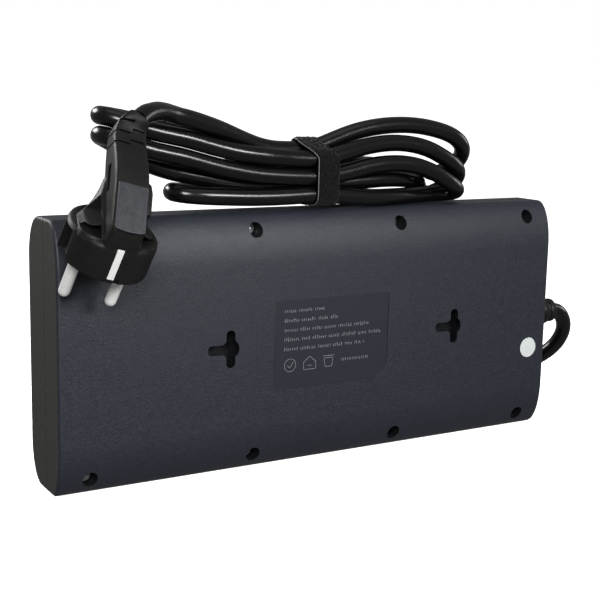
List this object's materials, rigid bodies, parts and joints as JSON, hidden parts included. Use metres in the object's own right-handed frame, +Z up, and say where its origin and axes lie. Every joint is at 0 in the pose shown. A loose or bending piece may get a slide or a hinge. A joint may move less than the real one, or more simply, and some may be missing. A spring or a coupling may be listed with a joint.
{
  "type": "power strip",
  "caption": "Flat wall-mountable power strip with two rows of earthed sockets, a rocker switch, USB ports and a tied flexible cord with an angled plug.",
  "frame": {"origin": "middle of the lower long edge that the strip stands on, midway between the socket rims and the back face", "axes": "+X along the length, away from the cord's gland; +Y out of the back face with the keyholes; +Z up"},
  "size_m": [0.2961, 0.0991, 0.1618],
  "materials": {
    "shell": "fine grain, matte",
    "screw_steel": "plated",
    "sticker_paper": "matte",
    "insert_black": "satin",
    "shutter_grey": "satin",
    "contact_brass": "satin",
    "switch_black": "satin",
    "rocker_red": "gloss",
    "board_green": "matte",
    "port_steel": "satin",
    "coil_yellow": "satin",
    "capacitor_black": "satin",
    "grommet_black": "satin",
    "cord_black": "gloss",
    "clamp_black": "satin",
    "lead_brown": "satin",
    "lead_blue": "satin",
    "lead_green": "satin",
    "tie_black": "hook-and-loop pile",
    "plug_black": "satin",
    "panel_grey": "fine grain, matte",
    "pin_nickel": "nickel plated",
    "strip_nickel": "nickel plated"
  },
  "bodies": {
    "housing": {"rear_cover": "shell", "front_cover": "shell", "case_screw_1": "screw_steel", "case_screw_2": "screw_steel", "case_screw_3": "screw_steel", "case_screw_4": "screw_steel", "case_screw_5": "screw_steel", "case_screw_6": "screw_steel", "case_screw_7": "screw_steel", "case_screw_8": "screw_steel", "inspection_sticker": "sticker_paper", "socket_insert_1": "insert_black", "socket_insert_2": "insert_black", "socket_insert_3": "insert_black", "socket_insert_4": "insert_black", "socket_insert_5": "insert_black", "socket_insert_6": "insert_black", "live_bar_upper": "contact_brass", "neutral_bar_upper": "contact_brass", "earth_bar_upper": "contact_brass", "live_bar_lower": "contact_brass", "neutral_bar_lower": "contact_brass", "earth_bar_lower": "contact_brass", "switch_housing": "switch_black", "usb_board": "board_green", "usb_port_1": "port_steel", "usb_port_2": "port_steel", "usb_port_3": "port_steel", "usb_transformer": "coil_yellow", "usb_capacitor_1": "capacitor_black", "usb_capacitor_2": "capacitor_black", "cord_grommet": "grommet_black", "cord_jacket_end": "cord_black", "cord_lead": "cord_black", "cord_tail": "cord_black", "cord_hank": "cord_black", "cord_clamp": "clamp_black", "clamp_screw_1": "screw_steel", "clamp_screw_2": "screw_steel", "live_lead": "lead_brown", "neutral_lead": "lead_blue", "earth_lead": "lead_green", "hank_tie": "tie_black", "plug_body": "plug_black", "plug_neck": "plug_black", "plug_grip_panel": "panel_grey", "plug_pin_1": "pin_nickel", "plug_pin_2": "pin_nickel", "plug_earth_strip_1": "strip_nickel", "plug_earth_strip_2": "strip_nickel"},
    "rocker": {"switch_rocker": "rocker_red"},
    "shutter_1": {"socket_shutter_1": "shutter_grey"},
    "shutter_2": {"socket_shutter_2": "shutter_grey"},
    "shutter_3": {"socket_shutter_3": "shutter_grey"},
    "shutter_4": {"socket_shutter_4": "shutter_grey"},
    "shutter_5": {"socket_shutter_5": "shutter_grey"},
    "shutter_6": {"socket_shutter_6": "shutter_grey"}
  },
  "joints": [
    {"name": "rocker_tilt", "type": "hinge", "parent": "housing", "child": "rocker", "pos_m": [-0.092, -0.01094, 0.084], "axis": [-1, 0, 0], "range_deg": [0, 16]},
    {"name": "shutter_slide_1", "type": "slide", "parent": "housing", "child": "shutter_1", "axis": [-1, 0, 0], "range_m": [0, 0.007], "stiffness_N_per_m": 60, "springref_m": -0.002},
    {"name": "shutter_slide_2", "type": "slide", "parent": "housing", "child": "shutter_2", "axis": [-1, 0, 0], "range_m": [0, 0.007], "stiffness_N_per_m": 60, "springref_m": -0.002},
    {"name": "shutter_slide_3", "type": "slide", "parent": "housing", "child": "shutter_3", "axis": [-1, 0, 0], "range_m": [0, 0.007], "stiffness_N_per_m": 60, "springref_m": -0.002},
    {"name": "shutter_slide_4", "type": "slide", "parent": "housing", "child": "shutter_4", "axis": [-1, 0, 0], "range_m": [0, 0.007], "stiffness_N_per_m": 60, "springref_m": -0.002},
    {"name": "shutter_slide_5", "type": "slide", "parent": "housing", "child": "shutter_5", "axis": [-1, 0, 0], "range_m": [0, 0.007], "stiffness_N_per_m": 60, "springref_m": -0.002},
    {"name": "shutter_slide_6", "type": "slide", "parent": "housing", "child": "shutter_6", "axis": [-1, 0, 0], "range_m": [0, 0.007], "stiffness_N_per_m": 60, "springref_m": -0.002}
  ]
}
